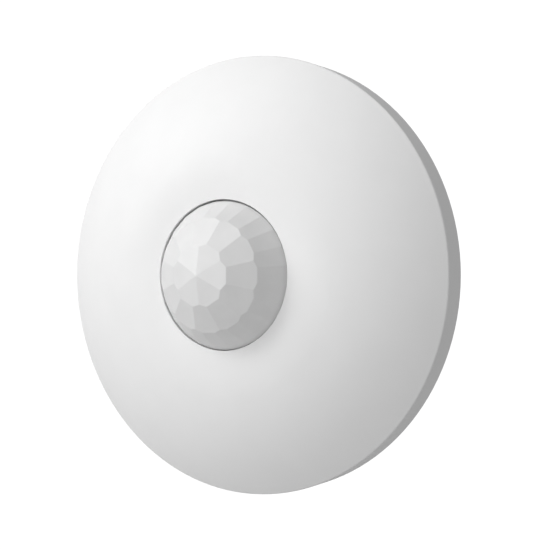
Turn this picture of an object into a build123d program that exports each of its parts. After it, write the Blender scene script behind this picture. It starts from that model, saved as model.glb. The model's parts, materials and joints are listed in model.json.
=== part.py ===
from build123d import *

import os
from math import asin, cos, hypot, radians, sin, sqrt

# Round ceiling motion sensor. The mounting face is the XZ plane at Y = 0, the lens looks along -Y,
# and "depth" is the distance from the mounting face towards the room, so Y = -depth.
# Lengths are millimetres, angles are degrees from +X towards +Z.

# ---------------------------------------------------------------- driving dimensions
rim_radius = 55.05
rim_back_radius = 54.55
rim_back_depth = 0.6
crease_depth = 7.85
shoulder_radius = 30.0
shoulder_depth = 20.89
lip_crest_radius = 22.0
rim_fillet = 0.7
dome_radius = 60.0
cover_wall = 2.0
lens_opening_radius = 18.6
lens_opening_fillet = 0.12

lens_radius = 18.25
# the lens sits a little off the centre of its opening, within its clearance
lens_shift = (0.0, -0.12)
lens_skirt_wall = 0.9
lens_centre_depth = 12.8
lens_inner_sphere_radius = 19.1
# number of facets, their tilt off the axis and their distance from the lens's centre
facet_rings = ((6, 12.4, 20.04), (12, 31.5, 20.02), (24, 57.1, 19.81))
lens_flange_radius = 21.5
lens_flange_depth = 17.4
lens_flange_thickness = 1.0
gasket_thickness = 0.6
retainer_thickness = 1.2
clamp_radius = 24.7
clamp_angles = (60, 120, 240, 300)

plate_radius = 50.5
plate_thickness = 2.4
screw_circle_radius = 38.0
screw_hole_radius = 2.25
box_screw_spacing = 60.0
box_slot_length = 10.0
box_slot_width = 4.4

hook_radius = 44.5
hook_angles = (90, 210, 330)
hook_span = 8.0
hook_stem_width = 2.0
hook_head_width = 4.6
hook_head_depth = 4.7
hook_head_thickness = 1.3
twist_angle = 18.0

housing_radius = 52.0
floor_depth = 2.8
floor_thickness = 1.8
wall_outer_radius = 51.2
wall_thickness = 1.6
wall_top_depth = 7.0
key_angles = (45, 135, 225, 315)
key_width = 4.0
key_start_depth = 1.0
key_length = 5.5
key_inner_radius = 51.3
skirt_inner_radius = 52.4

board_radius = 45.0
board_depth = 6.4
board_thickness = 1.6
board_screw_places = ((9, 31), (-9, 31), (9, -31), (-9, -31))
board_hole_radius = 1.2
board_rest_places = ((40, 0), (-40, 0))

cell_radius = 5.25
cell_length = 44.5
cell_nipple_radius = 1.9
cell_nipple_length = 0.8
cell_sleeve_thickness = 0.15
cell_axis_x = 22.0
cell_axis_depth = 10.25
bay_half_length = 24.75
contact_thickness = 0.4
contact_bump = 1.0
end_wall_thickness = 1.25
window_width = 12.8
window_half_length = 27.4

tamper_travel = 1.2
post_radius = 1.8
post_length = 5.1
cover_tamper_place = (-34.5, 8.0)
rear_tamper_place = (34.5, -6.0)
plunger_radius = 1.0
plunger_collar_radius = 1.7
tamper_body_size = 6.0
touch_gap = 0.08
spring_wire_radius = 0.15

boss_radius = 2.6
pilot_radius = 1.0
screw_shank_radius = 0.9
screw_head_height = 1.2
recess_length = 2.0
recess_width = 0.5
recess_depth = 0.6

enrol_place = (-34.0, -8.0)
dip_place = (34.5, 12.0)
dip_pitch = 2.3
dip_travel = 2.0

floor_top = floor_depth + floor_thickness
board_top = board_depth + board_thickness
cover_tip_depth = board_top + 4.8
tamper_radius = hypot(*rear_tamper_place)

# The radius-depth half plane: local x is the radius and local y is the depth.
half_plane = Plane(origin=(0, 0, 0), x_dir=(1, 0, 0), z_dir=(0, 0, -1))
axis_line = Axis((0, 0, 0), (0, -1, 0))


# ---------------------------------------------------------------- helpers
def at_depth(depth):
    """The plane parallel to the mounting face at this depth; a positive extrusion goes to the room."""
    return Plane.XZ.offset(depth)


def save(piece, name, shift=(0, 0)):
    """Labels a finished piece, shifts it in X and Z, and writes it as its own file."""
    placed = piece.part.moved(Location((shift[0], 0, shift[1])))
    placed.label = name
    export_step(placed, f"parts/{name}.step")


def draw_sector(inner, outer, start, end):
    """Adds a ring sector between two radii and two angles to the sketch being drawn."""
    with BuildLine(mode=Mode.PRIVATE) as outline:
        outside = CenterArc((0, 0), outer, start, end - start)
        inside = CenterArc((0, 0), inner, start, end - start)
        Line(outside @ 0, inside @ 0)
        Line(outside @ 1, inside @ 1)
    make_face(outline.edges())


def draw_bars(places, radius, start, end, mode=Mode.ADD):
    """Adds or removes round bars parallel to the sensor's axis, between two depths, to the part."""
    with BuildSketch(at_depth(start), mode=Mode.PRIVATE) as section:
        with Locations(*places):
            Circle(radius)
    extrude(section.sketch, amount=end - start, mode=mode)


def draw_bar_along_z(radius, x, start_z, end_z, mode=Mode.ADD):
    """Adds or removes a round bar on a cell's axis, between two heights, to the part."""
    low, high = sorted((start_z, end_z))
    foot = Plane(origin=(x, -cell_axis_depth, low), z_dir=(0, 0, 1))
    with BuildSketch(foot, mode=Mode.PRIVATE) as section:
        Circle(radius)
    extrude(section.sketch, amount=high - low, mode=mode)


def cut_cross(places, depth):
    """Cuts a cross recess for a screwdriver, from the depth towards the room, into the part."""
    with BuildSketch(at_depth(depth), mode=Mode.PRIVATE) as section:
        with Locations(*places):
            Rectangle(recess_length, recess_width)
            Rectangle(recess_width, recess_length)
    extrude(section.sketch, amount=recess_depth, mode=Mode.SUBTRACT)


def polar(radius, angle):
    """The x, z place at this radius and angle."""
    return (radius * cos(radians(angle)), radius * sin(radians(angle)))


def wind_coil(radius, turns, length, wire_radius, start, direction):
    """Adds a helical spring of round wire, from start along direction, to the part."""
    with BuildLine(mode=Mode.PRIVATE) as path:
        Helix(length / turns, length, radius, center=start, direction=direction)
    begin = Plane(origin=path.line @ 0, z_dir=path.line % 0)
    with BuildSketch(begin, mode=Mode.PRIVATE) as wire:
        Circle(wire_radius)
    sweep(wire.sketch, path=path.line)


os.makedirs("parts", exist_ok=True)

# ---------------------------------------------------------------- shape of the cover's dome
# A long arc runs from the crease to the shoulder, and a tight one from there over a crest and a
# little down to the lens opening. Both are concentric inside and out, so the wall is even.
chord_run = shoulder_radius - rim_radius
chord_rise = shoulder_depth - crease_depth
half_chord = hypot(chord_run, chord_rise) / 2
centre_reach = sqrt(dome_radius**2 - half_chord**2) / (2 * half_chord)
dome_centre_radius = (rim_radius + shoulder_radius) / 2 - chord_rise * centre_reach
dome_centre_depth = (crease_depth + shoulder_depth) / 2 + chord_run * centre_reach
shoulder_slope = asin((shoulder_radius - dome_centre_radius) / dome_radius)
lip_arc_radius = (shoulder_radius - lip_crest_radius) / sin(shoulder_slope)
lip_centre_depth = shoulder_depth - lip_arc_radius * cos(shoulder_slope)


def dome_point(radius, inset=0.0):
    """The point of the long arc at this radius, set in from the outer face."""
    across = radius - dome_centre_radius
    return (radius, dome_centre_depth + sqrt((dome_radius - inset) ** 2 - across**2))


def lip_point(radius, inset=0.0):
    """The point of the arc beside the lens opening at this radius, set in from the outer face."""
    across = radius - lip_crest_radius
    return (radius, lip_centre_depth + sqrt((lip_arc_radius - inset) ** 2 - across**2))


seat_radius = lens_flange_radius + 0.5
seat_depth = lens_flange_depth + lens_flange_thickness + gasket_thickness
inner_shoulder_radius = shoulder_radius - cover_wall * sin(shoulder_slope)
clamp_places = [polar(clamp_radius, angle) for angle in clamp_angles]

# ---------------------------------------------------------------- front cover
with BuildPart() as front_cover:
    with BuildSketch(half_plane) as shell_section:
        with BuildLine():
            rim = Line((rim_back_radius, rim_back_depth), (rim_radius, crease_depth))
            dome = ThreePointArc(rim @ 1, dome_point(42), dome_point(shoulder_radius))
            lip = ThreePointArc(dome @ 1, lip_point(24), lip_point(lens_opening_radius))
            seat_start = (lens_opening_radius, seat_depth)
            seat_end = (seat_radius, seat_depth)
            opening = Polyline(lip @ 1, seat_start, seat_end, lip_point(seat_radius, cover_wall))
            inner_shoulder = dome_point(inner_shoulder_radius, cover_wall)
            inner_lip = ThreePointArc(opening @ 1, lip_point(25, cover_wall), inner_shoulder)
            inner_corner = dome_point(skirt_inner_radius, cover_wall)
            inner_dome = ThreePointArc(inner_lip @ 1, dome_point(40, cover_wall), inner_corner)
            Polyline(inner_dome @ 1, (skirt_inner_radius, rim_back_depth), rim @ 0)
        make_face()
        widest_corner = shell_section.vertices().sort_by(Axis.X)[-1]
        fillet(widest_corner, radius=rim_fillet)
        opening_corner = shell_section.vertices().group_by(Axis.X)[0].sort_by(Axis.Y)[-1]
        fillet(opening_corner, radius=lens_opening_fillet)
    revolve(axis=axis_line)
    # bosses for the retainer's screws, up to the underside of the dome
    draw_bars(clamp_places, boss_radius, lens_flange_depth, seat_depth + 1.5)
    draw_bars(clamp_places, pilot_radius, lens_flange_depth, seat_depth - 0.1, Mode.SUBTRACT)
    # post that holds the cover tamper down
    post_depth = cover_tip_depth + touch_gap
    draw_bars([cover_tamper_place], post_radius, post_depth, post_depth + post_length)
    # keys that turn the housing with the cover
    with BuildSketch(at_depth(key_start_depth)):
        for angle in key_angles:
            with Locations(Rotation(0, 0, angle)):
                with Locations(((key_inner_radius + skirt_inner_radius) / 2 + 0.2, 0)):
                    Rectangle(skirt_inner_radius - key_inner_radius + 0.4, key_width)
    extrude(amount=key_length)
save(front_cover, "front_cover")

# ---------------------------------------------------------------- lens
skirt_top_depth = lens_flange_depth + lens_flange_thickness
inner_lens_radius = lens_radius - lens_skirt_wall
cavity_corner_rise = sqrt(lens_inner_sphere_radius**2 - inner_lens_radius**2)
cavity_corner_depth = lens_centre_depth + cavity_corner_rise
cavity_middle = lens_inner_sphere_radius * sin(radians(30))
cavity_middle_depth = lens_centre_depth + lens_inner_sphere_radius * cos(radians(30))
cavity_top_depth = lens_centre_depth + lens_inner_sphere_radius

with BuildPart() as pir_lens:
    # a plain bar longer than the dome, which the facets cut down
    with BuildSketch(at_depth(skirt_top_depth)):
        Circle(lens_radius)
    extrude(amount=lens_radius)
    for count, tilt, reach in facet_rings:
        for number in range(count):
            # the first ring starts on +X and each later ring shares that facet direction
            around = radians(number * 360 / count)
            outward = Vector(
                sin(radians(tilt)) * cos(around),
                -cos(radians(tilt)),
                sin(radians(tilt)) * sin(around),
            )
            touching = Vector(0, -lens_centre_depth, 0) + outward * reach
            split(bisect_by=Plane(origin=touching, z_dir=outward), keep=Keep.BOTTOM)
    with BuildSketch(at_depth(lens_flange_depth)):
        Circle(lens_flange_radius)
    extrude(amount=lens_flange_thickness)
    with BuildSketch(half_plane):
        with BuildLine():
            base = (0, lens_flange_depth)
            side = (inner_lens_radius, lens_flange_depth)
            up = Polyline(base, side, (inner_lens_radius, cavity_corner_depth))
            roof_middle = (cavity_middle, cavity_middle_depth)
            roof = ThreePointArc(up @ 1, roof_middle, (0, cavity_top_depth))
            Line(roof @ 1, base)
        make_face()
    revolve(axis=axis_line, mode=Mode.SUBTRACT)
save(pir_lens, "pir_lens", lens_shift)

# ---------------------------------------------------------------- lens gasket and retainer
with BuildPart() as lens_gasket:
    with BuildSketch(at_depth(skirt_top_depth)):
        Circle(lens_flange_radius)
        Circle(lens_radius + 0.4, mode=Mode.SUBTRACT)
    extrude(amount=gasket_thickness)
save(lens_gasket, "lens_gasket")

retainer_depth = lens_flange_depth - retainer_thickness
ear_radius = 2.8

with BuildPart() as lens_retainer:
    with BuildSketch(at_depth(retainer_depth)):
        Circle(lens_flange_radius + 0.3)
        with Locations(*clamp_places):
            Circle(ear_radius)
        for angle in clamp_angles:
            with Locations(Rotation(0, 0, angle)):
                with Locations((clamp_radius - ear_radius, 0)):
                    Rectangle(2 * ear_radius, 2 * ear_radius)
        Circle(inner_lens_radius + 0.3, mode=Mode.SUBTRACT)
        with Locations(*clamp_places):
            Circle(pilot_radius + 0.1, mode=Mode.SUBTRACT)
    extrude(amount=retainer_thickness)
save(lens_retainer, "lens_retainer")

head_depth = retainer_depth - screw_head_height

with BuildPart() as retainer_screws:
    draw_bars(clamp_places, 2.0, head_depth, retainer_depth)
    draw_bars(clamp_places, screw_shank_radius, retainer_depth, retainer_depth + 2.5)
    cut_cross(clamp_places, head_depth)
save(retainer_screws, "retainer_screws")

# ---------------------------------------------------------------- mounting plate
plate_edge_fillet = 0.4
counterbore_radius = 4.2
counterbore_depth = 1.2
ramp_width = 6.0
ramp_start_z = rear_tamper_place[1]
ramp_end_z = tamper_radius * sin(asin(ramp_start_z / tamper_radius) + radians(twist_angle))
ramp_slope = tamper_travel / (ramp_end_z - ramp_start_z)
ramp_run_out = 3.0
pocket_inner_radius, pocket_outer_radius = 14.0, 22.0
pocket_count = 6
pocket_span = 50.0
pocket_depth = 0.9

with BuildPart() as mounting_plate:
    with BuildSketch(at_depth(0)):
        Circle(plate_radius)
    extrude(amount=plate_thickness)
    fillet(mounting_plate.edges().group_by(Axis.Y)[0], radius=plate_edge_fillet)
    with BuildSketch(at_depth(0)):
        for number in range(4):
            with Locations(polar(screw_circle_radius, 45 + 90 * number)):
                Circle(screw_hole_radius)
        with Locations((0, box_screw_spacing / 2), (0, -box_screw_spacing / 2)):
            SlotOverall(box_slot_length, box_slot_width, rotation=90)
    extrude(amount=plate_thickness, mode=Mode.SUBTRACT)
    # shallow pockets in the back that keep the moulding even and flat
    with BuildSketch(at_depth(0)):
        for number in range(pocket_count):
            start = number * 360 / pocket_count
            draw_sector(pocket_inner_radius, pocket_outer_radius, start, start + pocket_span)
    extrude(amount=pocket_depth, mode=Mode.SUBTRACT)
    # counterbores that sink the screw heads below the housing
    with BuildSketch(at_depth(plate_thickness - counterbore_depth)):
        for number in range(4):
            with Locations(polar(screw_circle_radius, 45 + 90 * number)):
                Circle(counterbore_radius)
        with Locations((0, box_screw_spacing / 2), (0, -box_screw_spacing / 2)):
            SlotOverall(box_slot_length + 4, box_slot_width + 4, rotation=90)
    extrude(amount=counterbore_depth, mode=Mode.SUBTRACT)
    # ramp that lets the rear tamper out as the housing turns
    with BuildSketch(Plane.YZ.offset(rear_tamper_place[0] - ramp_width / 2 + 0.5)):
        with BuildLine():
            low = -plate_thickness + ramp_slope * (ramp_end_z - ramp_start_z)
            Polyline(
                (-plate_thickness, ramp_start_z),
                (low, ramp_end_z),
                (low, ramp_end_z + ramp_run_out),
                (-plate_thickness, ramp_end_z + ramp_run_out),
                close=True,
            )
        make_face()
    extrude(amount=ramp_width, mode=Mode.SUBTRACT)
    # bayonet hooks: a narrow stem under a wider head
    with BuildSketch(at_depth(plate_thickness - 0.4)):
        for angle in hook_angles:
            half = hook_stem_width / 2
            start, end = angle - hook_span / 2, angle + hook_span / 2
            draw_sector(hook_radius - half, hook_radius + half, start, end)
    extrude(amount=hook_head_depth - plate_thickness + 0.4)
    with BuildSketch(at_depth(hook_head_depth)):
        for angle in hook_angles:
            half = hook_head_width / 2
            start, end = angle - hook_span / 2, angle + hook_span / 2
            draw_sector(hook_radius - half, hook_radius + half, start, end)
    extrude(amount=hook_head_thickness)
save(mounting_plate, "mounting_plate")

# ---------------------------------------------------------------- rear housing
standoff_radius = 2.4
saddle_places = (-12.0, 0.0, 12.0)
saddle_height = 3.0
saddle_clearance = 0.1
rest_radius = 1.4
end_wall_width = 11.0
end_wall_height = 7.6
notch_depth = housing_radius - key_inner_radius + 0.3

with BuildPart() as rear_housing:
    with BuildSketch(at_depth(floor_depth)):
        Circle(housing_radius)
        for angle in key_angles:
            with Locations(Rotation(0, 0, angle)):
                with Locations((housing_radius, 0)):
                    Rectangle(2 * notch_depth, key_width + 0.6, mode=Mode.SUBTRACT)
    extrude(amount=floor_thickness)
    with BuildSketch(at_depth(floor_top)):
        Circle(wall_outer_radius - 0.4)
        Circle(wall_outer_radius - wall_thickness, mode=Mode.SUBTRACT)
    extrude(amount=wall_top_depth - floor_top)
    # standoffs and rests for the circuit board
    with BuildSketch(at_depth(floor_top)):
        with Locations(*board_screw_places):
            Circle(standoff_radius)
        with Locations(*board_rest_places):
            Circle(rest_radius)
    extrude(amount=board_depth - floor_top)
    # end walls of the two cell bays
    with BuildSketch(at_depth(floor_top)):
        end_wall_centre = bay_half_length + contact_thickness + end_wall_thickness / 2
        with GridLocations(2 * cell_axis_x, 2 * end_wall_centre, 2, 2):
            Rectangle(end_wall_width, end_wall_thickness)
    extrude(amount=end_wall_height)
    # saddles that carry the cells
    with BuildSketch(at_depth(floor_top)):
        for side in (-1, 1):
            for place in saddle_places:
                with Locations((side * cell_axis_x, place)):
                    Rectangle(11.6, 1.4)
    extrude(amount=saddle_height)
    for side in (-1, 1):
        cell_start = (side * cell_axis_x, -cell_axis_depth, -bay_half_length)
        with BuildSketch(Plane(origin=cell_start, z_dir=(0, 0, 1))):
            Circle(cell_radius + saddle_clearance)
        extrude(amount=2 * bay_half_length, mode=Mode.SUBTRACT)
    # pilot holes, bayonet slots and the hole for the rear tamper
    with BuildSketch(at_depth(floor_depth + 0.6)):
        with Locations(*board_screw_places):
            Circle(pilot_radius)
    extrude(amount=board_depth, mode=Mode.SUBTRACT)
    with BuildSketch(at_depth(floor_depth)):
        for angle in hook_angles:
            narrow = hook_stem_width / 2 + 0.3
            wide = hook_head_width / 2 + 0.4
            hook_end = angle + hook_span / 2 + 1.0
            entry_end = angle - twist_angle + hook_span / 2 + 1.5
            entry_start = angle - twist_angle - hook_span / 2 - 1.5
            draw_sector(hook_radius - narrow, hook_radius + narrow, entry_end, hook_end)
            draw_sector(hook_radius - wide, hook_radius + wide, entry_start, entry_end)
        with Locations(rear_tamper_place):
            Circle(plunger_radius + 0.3)
    extrude(amount=floor_thickness, mode=Mode.SUBTRACT)
save(rear_housing, "rear_housing")

# ---------------------------------------------------------------- circuit board and its screws
lead_circle_radius = 2.54
lead_angles = (0, 120, 240)
lead_radius = 0.23

with BuildPart() as circuit_board:
    with BuildSketch(at_depth(board_depth)):
        Circle(board_radius)
        with Locations((-cell_axis_x, 0), (cell_axis_x, 0)):
            RectangleRounded(window_width, 2 * window_half_length, 1.0, mode=Mode.SUBTRACT)
        with Locations(*board_screw_places):
            Circle(board_hole_radius, mode=Mode.SUBTRACT)
        with Locations(rear_tamper_place):
            Circle(plunger_radius + 0.3, mode=Mode.SUBTRACT)
        for angle in lead_angles:
            with Locations(polar(lead_circle_radius, angle)):
                Circle(lead_radius + 0.1, mode=Mode.SUBTRACT)
    extrude(amount=board_thickness)
save(circuit_board, "circuit_board")

with BuildPart() as board_screws:
    draw_bars(board_screw_places, 1.9, board_top, board_top + screw_head_height)
    draw_bars(board_screw_places, screw_shank_radius, floor_depth + 0.9, board_top)
    cut_cross(board_screw_places, board_top + 0.6)
save(board_screws, "board_screws")

# ---------------------------------------------------------------- pyroelectric sensor
can_radius = 4.1
can_flange_radius = 4.6
can_top_depth = 12.2
filter_width, filter_length, filter_thickness = 3.8, 4.8, 0.5

with BuildPart() as pir_sensor_can:
    with BuildSketch(at_depth(board_top)):
        Circle(can_flange_radius)
    extrude(amount=0.5)
    with BuildSketch(at_depth(board_top + 0.5)):
        Circle(can_radius)
    extrude(amount=can_top_depth - board_top - 0.5)
    fillet(pir_sensor_can.edges().group_by(Axis.Y)[0], radius=0.5)
    with BuildSketch(at_depth(can_top_depth - filter_thickness)):
        Rectangle(filter_width, filter_length)
    extrude(amount=filter_thickness, mode=Mode.SUBTRACT)
save(pir_sensor_can, "pir_sensor_can")

with BuildPart() as pir_filter_window:
    with BuildSketch(at_depth(can_top_depth - filter_thickness)):
        Rectangle(filter_width, filter_length)
    extrude(amount=filter_thickness - 0.05)
save(pir_filter_window, "pir_filter_window")

with BuildPart() as pir_leads:
    with BuildSketch(at_depth(board_depth - 0.8)):
        for angle in lead_angles:
            with Locations(polar(lead_circle_radius, angle)):
                Circle(lead_radius)
    extrude(amount=board_thickness + 0.8)
save(pir_leads, "pir_leads")

with BuildPart() as sensor_shroud:
    with BuildSketch(at_depth(board_top)):
        Circle(6.4)
        Circle(can_flange_radius + 0.1, mode=Mode.SUBTRACT)
    extrude(amount=2.8)
save(sensor_shroud, "sensor_shroud")

# ---------------------------------------------------------------- indicator
indicator_place = (0.0, -9.6)
indicator_radius = 1.5
with BuildPart() as indicator_led:
    with BuildSketch(at_depth(board_top)):
        with Locations(indicator_place):
            Circle(indicator_radius + 0.3)
    extrude(amount=0.8)
    with BuildSketch(at_depth(board_top + 0.8)):
        with Locations(indicator_place):
            Circle(indicator_radius)
    extrude(amount=3.0)
    fillet(indicator_led.edges().group_by(Axis.Y)[0], radius=1.3)
save(indicator_led, "indicator_led")

# ---------------------------------------------------------------- microcontroller
chip_place = (0.0, 15.5)
chip_size = 7.0
leg_count = 8
leg_pitch = 0.8
with BuildPart() as microcontroller:
    with BuildSketch(at_depth(board_top + 0.1)):
        with Locations(chip_place):
            Rectangle(chip_size, chip_size)
    extrude(amount=1.2)
    chamfer(microcontroller.edges().group_by(Axis.Y)[0], length=0.2)
    with BuildSketch(at_depth(board_top + 1.2)):
        with Locations((chip_place[0] - 2.6, chip_place[1] + 2.6)):
            Circle(0.4)
    extrude(amount=0.2, mode=Mode.SUBTRACT)
save(microcontroller, "microcontroller")

with BuildPart() as microcontroller_legs:
    with BuildSketch(at_depth(board_top)):
        reach = chip_size / 2 + 0.5
        for side in (-1, 1):
            with Locations((chip_place[0], chip_place[1] + side * reach)):
                with GridLocations(leg_pitch, 1, leg_count, 1):
                    Rectangle(0.36, 1.0)
            with Locations((chip_place[0] + side * reach, chip_place[1])):
                with GridLocations(1, leg_pitch, 1, leg_count):
                    Rectangle(1.0, 0.36)
    extrude(amount=0.5)
save(microcontroller_legs, "microcontroller_legs")

# ---------------------------------------------------------------- radio module and antenna
radio_place = (0.0, -20.5)
radio_board_size = 14.0
radio_board_thickness = 0.8
with BuildPart() as radio_board:
    with BuildSketch(at_depth(board_top)):
        with Locations(radio_place):
            Rectangle(radio_board_size, radio_board_size)
            with GridLocations(radio_board_size, 1.6, 2, 8):
                Circle(0.35, mode=Mode.SUBTRACT)
    extrude(amount=radio_board_thickness)
save(radio_board, "radio_board")

with BuildPart() as radio_shield:
    with BuildSketch(at_depth(board_top + radio_board_thickness)):
        with Locations(radio_place):
            Rectangle(11.0, 11.0)
    extrude(amount=2.0)
    fillet(radio_shield.edges().filter_by(Axis.Y), radius=0.6)
    fillet(radio_shield.edges().group_by(Axis.Y)[0], radius=0.3)
save(radio_shield, "radio_shield")

antenna_z = 37.5
antenna_half_length = 8.0
antenna_coil_radius = 1.5
antenna_wire_radius = 0.3
antenna_depth = board_top + antenna_coil_radius + antenna_wire_radius + 0.02
with BuildPart() as antenna_coil:
    coil_start = (-antenna_half_length, -antenna_depth, antenna_z)
    coil_length = 2 * antenna_half_length
    wind_coil(antenna_coil_radius, 8, coil_length, antenna_wire_radius, coil_start, (1, 0, 0))
save(antenna_coil, "antenna_coil")

# ---------------------------------------------------------------- capacitor, crystal and chips
capacitor_radius = 3.15
capacitor_half_length = 5.5
capacitor_z = 25.5
with BuildPart() as storage_capacitor:
    capacitor_end = (-capacitor_half_length, -board_top - capacitor_radius - 0.05, capacitor_z)
    with BuildSketch(Plane(origin=capacitor_end, z_dir=(1, 0, 0))):
        Circle(capacitor_radius)
    extrude(amount=2 * capacitor_half_length)
    fillet(storage_capacitor.edges().filter_by(GeomType.CIRCLE), radius=0.4)
save(storage_capacitor, "storage_capacitor")

crystal_place = (10.6, 12.0)
with BuildPart() as crystal_can:
    with BuildSketch(at_depth(board_top)):
        with Locations(crystal_place):
            SlotOverall(11.0, 4.4, rotation=90)
    extrude(amount=0.5)
    with BuildSketch(at_depth(board_top + 0.5)):
        with Locations(crystal_place):
            SlotOverall(10.2, 3.7, rotation=90)
    extrude(amount=2.9)
    fillet(crystal_can.edges().group_by(Axis.Y)[0], radius=0.4)
save(crystal_can, "crystal_can")

with BuildPart() as chip_resistors:
    with BuildSketch(at_depth(board_top)):
        with Locations((-10.6, 14.0)):
            with GridLocations(3.2, 2.2, 2, 6):
                Rectangle(1.6, 0.8)
        with Locations((33.5, 24.0)):
            with GridLocations(2.4, 2.2, 2, 2):
                Rectangle(1.6, 0.8)
    extrude(amount=0.45)
save(chip_resistors, "chip_resistors")

with BuildPart() as chip_capacitors:
    with BuildSketch(at_depth(board_top)):
        with Locations((10.8, -14.0)):
            with GridLocations(3.4, 3.0, 2, 4):
                Rectangle(2.0, 1.25)
        with Locations((-33.5, 22.0)):
            with GridLocations(3.4, 3.0, 2, 2):
                Rectangle(2.0, 1.25)
    extrude(amount=1.1)
save(chip_capacitors, "chip_capacitors")

# ---------------------------------------------------------------- cells
for name, side, up in (("left", -1, 1), ("right", 1, -1)):
    # "up" is the end that the positive nipple points to: it nearly touches its contact's bump
    positive_end = up * (bay_half_length - contact_bump - 0.02)
    nipple_foot = positive_end - up * cell_nipple_length
    negative_end = positive_end - up * cell_length
    low_end, high_end = sorted((nipple_foot, negative_end))
    with BuildPart() as cell:
        draw_bar_along_z(cell_radius - cell_sleeve_thickness, side * cell_axis_x, low_end, high_end)
        draw_bar_along_z(cell_nipple_radius, side * cell_axis_x, nipple_foot, positive_end)
    save(cell, f"battery_{name}")
    with BuildPart() as sleeve:
        draw_bar_along_z(cell_radius, side * cell_axis_x, low_end + 0.3, high_end - 0.3)
        draw_bar_along_z(
            cell_radius - cell_sleeve_thickness,
            side * cell_axis_x,
            low_end,
            high_end,
            mode=Mode.SUBTRACT,
        )
    save(sleeve, f"battery_sleeve_{name}")

# ---------------------------------------------------------------- cell contacts
contact_width = 8.0
contact_top_depth = floor_top + end_wall_height
foot_length = 3.0

with BuildPart() as battery_contacts:
    for side in (-1, 1):
        for up in (-1, 1):
            # a clip over the end wall, with a foot on the circuit board
            inside = up * bay_half_length
            outside = up * (bay_half_length + 2 * contact_thickness + end_wall_thickness)
            thick = up * contact_thickness
            with BuildSketch(Plane.YZ.offset(side * cell_axis_x - contact_width / 2)):
                with BuildLine():
                    Polyline(
                        (-floor_top - 0.4, inside),
                        (-contact_top_depth - contact_thickness, inside),
                        (-contact_top_depth - contact_thickness, outside),
                        (-board_top - contact_thickness, outside),
                        (-board_top - contact_thickness, outside + up * foot_length),
                        (-board_top, outside + up * foot_length),
                        (-board_top, outside - thick),
                        (-contact_top_depth, outside - thick),
                        (-contact_top_depth, inside + thick),
                        (-floor_top - 0.4, inside + thick),
                        close=True,
                    )
                make_face()
            extrude(amount=contact_width)
        # the bump that meets the positive nipple
        up = -side
        bump_start = up * (bay_half_length - contact_bump)
        draw_bar_along_z(2.2, side * cell_axis_x, bump_start, up * bay_half_length)
save(battery_contacts, "battery_contacts")

spring_gap = 2 * bay_half_length - cell_length - contact_bump - 0.02
with BuildPart() as battery_springs:
    for side in (-1, 1):
        # the negative end of each cell is opposite its bump
        coil_start = (side * cell_axis_x, -cell_axis_depth, side * (bay_half_length - 0.45))
        wind_coil(3.2, 2, spring_gap - 0.9, 0.35, coil_start, (0, 0, -side))
save(battery_springs, "battery_springs")

# ---------------------------------------------------------------- cover tamper
cover_switch_top = board_top + 3.8
cover_collar_depth = board_top + 1.3

with BuildPart() as cover_tamper_switch:
    with BuildSketch(at_depth(board_top)):
        with Locations(cover_tamper_place):
            Rectangle(tamper_body_size, tamper_body_size)
    extrude(amount=cover_switch_top - board_top)
    chamfer(cover_tamper_switch.edges().filter_by(Axis.Y), length=0.5)
    cavity_top = cover_switch_top - 0.6
    draw_bars([cover_tamper_place], plunger_collar_radius + 0.3, board_top, cavity_top, Mode.SUBTRACT)
    draw_bars([cover_tamper_place], plunger_radius + 0.1, cavity_top, cover_switch_top, Mode.SUBTRACT)
save(cover_tamper_switch, "cover_tamper_switch")

with BuildPart() as cover_tamper_plunger:
    draw_bars([cover_tamper_place], plunger_collar_radius, cover_collar_depth, cover_collar_depth + 0.5)
    draw_bars([cover_tamper_place], plunger_radius, cover_collar_depth, cover_tip_depth)
    fillet(cover_tamper_plunger.edges().group_by(Axis.Y)[0], radius=0.4)
save(cover_tamper_plunger, "cover_tamper_plunger")

tamper_coil_radius = 1.25
with BuildPart() as cover_tamper_spring:
    coil_start = (cover_tamper_place[0], -board_top - 0.2, cover_tamper_place[1])
    coil_length = cover_collar_depth - board_top - 0.4
    wind_coil(tamper_coil_radius, 2, coil_length, spring_wire_radius, coil_start, (0, -1, 0))
save(cover_tamper_spring, "cover_tamper_spring")

# ---------------------------------------------------------------- rear tamper
rear_switch_top = board_top + 4.6
rear_collar_depth = board_top + 1.5
rear_tip_depth = plate_thickness + touch_gap

with BuildPart() as rear_tamper_switch:
    with BuildSketch(at_depth(board_top)):
        with Locations(rear_tamper_place):
            Rectangle(tamper_body_size, tamper_body_size)
    extrude(amount=rear_switch_top - board_top)
    chamfer(rear_tamper_switch.edges().filter_by(Axis.Y), length=0.5)
    draw_bars(
        [rear_tamper_place],
        plunger_collar_radius + 0.3,
        board_top,
        rear_switch_top - 0.6,
        Mode.SUBTRACT,
    )
save(rear_tamper_switch, "rear_tamper_switch")

with BuildPart() as rear_tamper_plunger:
    draw_bars([rear_tamper_place], plunger_collar_radius, rear_collar_depth, rear_collar_depth + 0.5)
    draw_bars([rear_tamper_place], plunger_radius, rear_tip_depth + plunger_radius, rear_collar_depth)
    with Locations((rear_tamper_place[0], -rear_tip_depth - plunger_radius, rear_tamper_place[1])):
        Sphere(plunger_radius)
save(rear_tamper_plunger, "rear_tamper_plunger")

with BuildPart() as rear_tamper_spring:
    spring_floor = rear_collar_depth + 0.5
    coil_start = (rear_tamper_place[0], -spring_floor - 0.2, rear_tamper_place[1])
    coil_length = rear_switch_top - 0.6 - spring_floor - 0.4
    wind_coil(tamper_coil_radius, 3, coil_length, spring_wire_radius, coil_start, (0, -1, 0))
save(rear_tamper_spring, "rear_tamper_spring")

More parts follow.
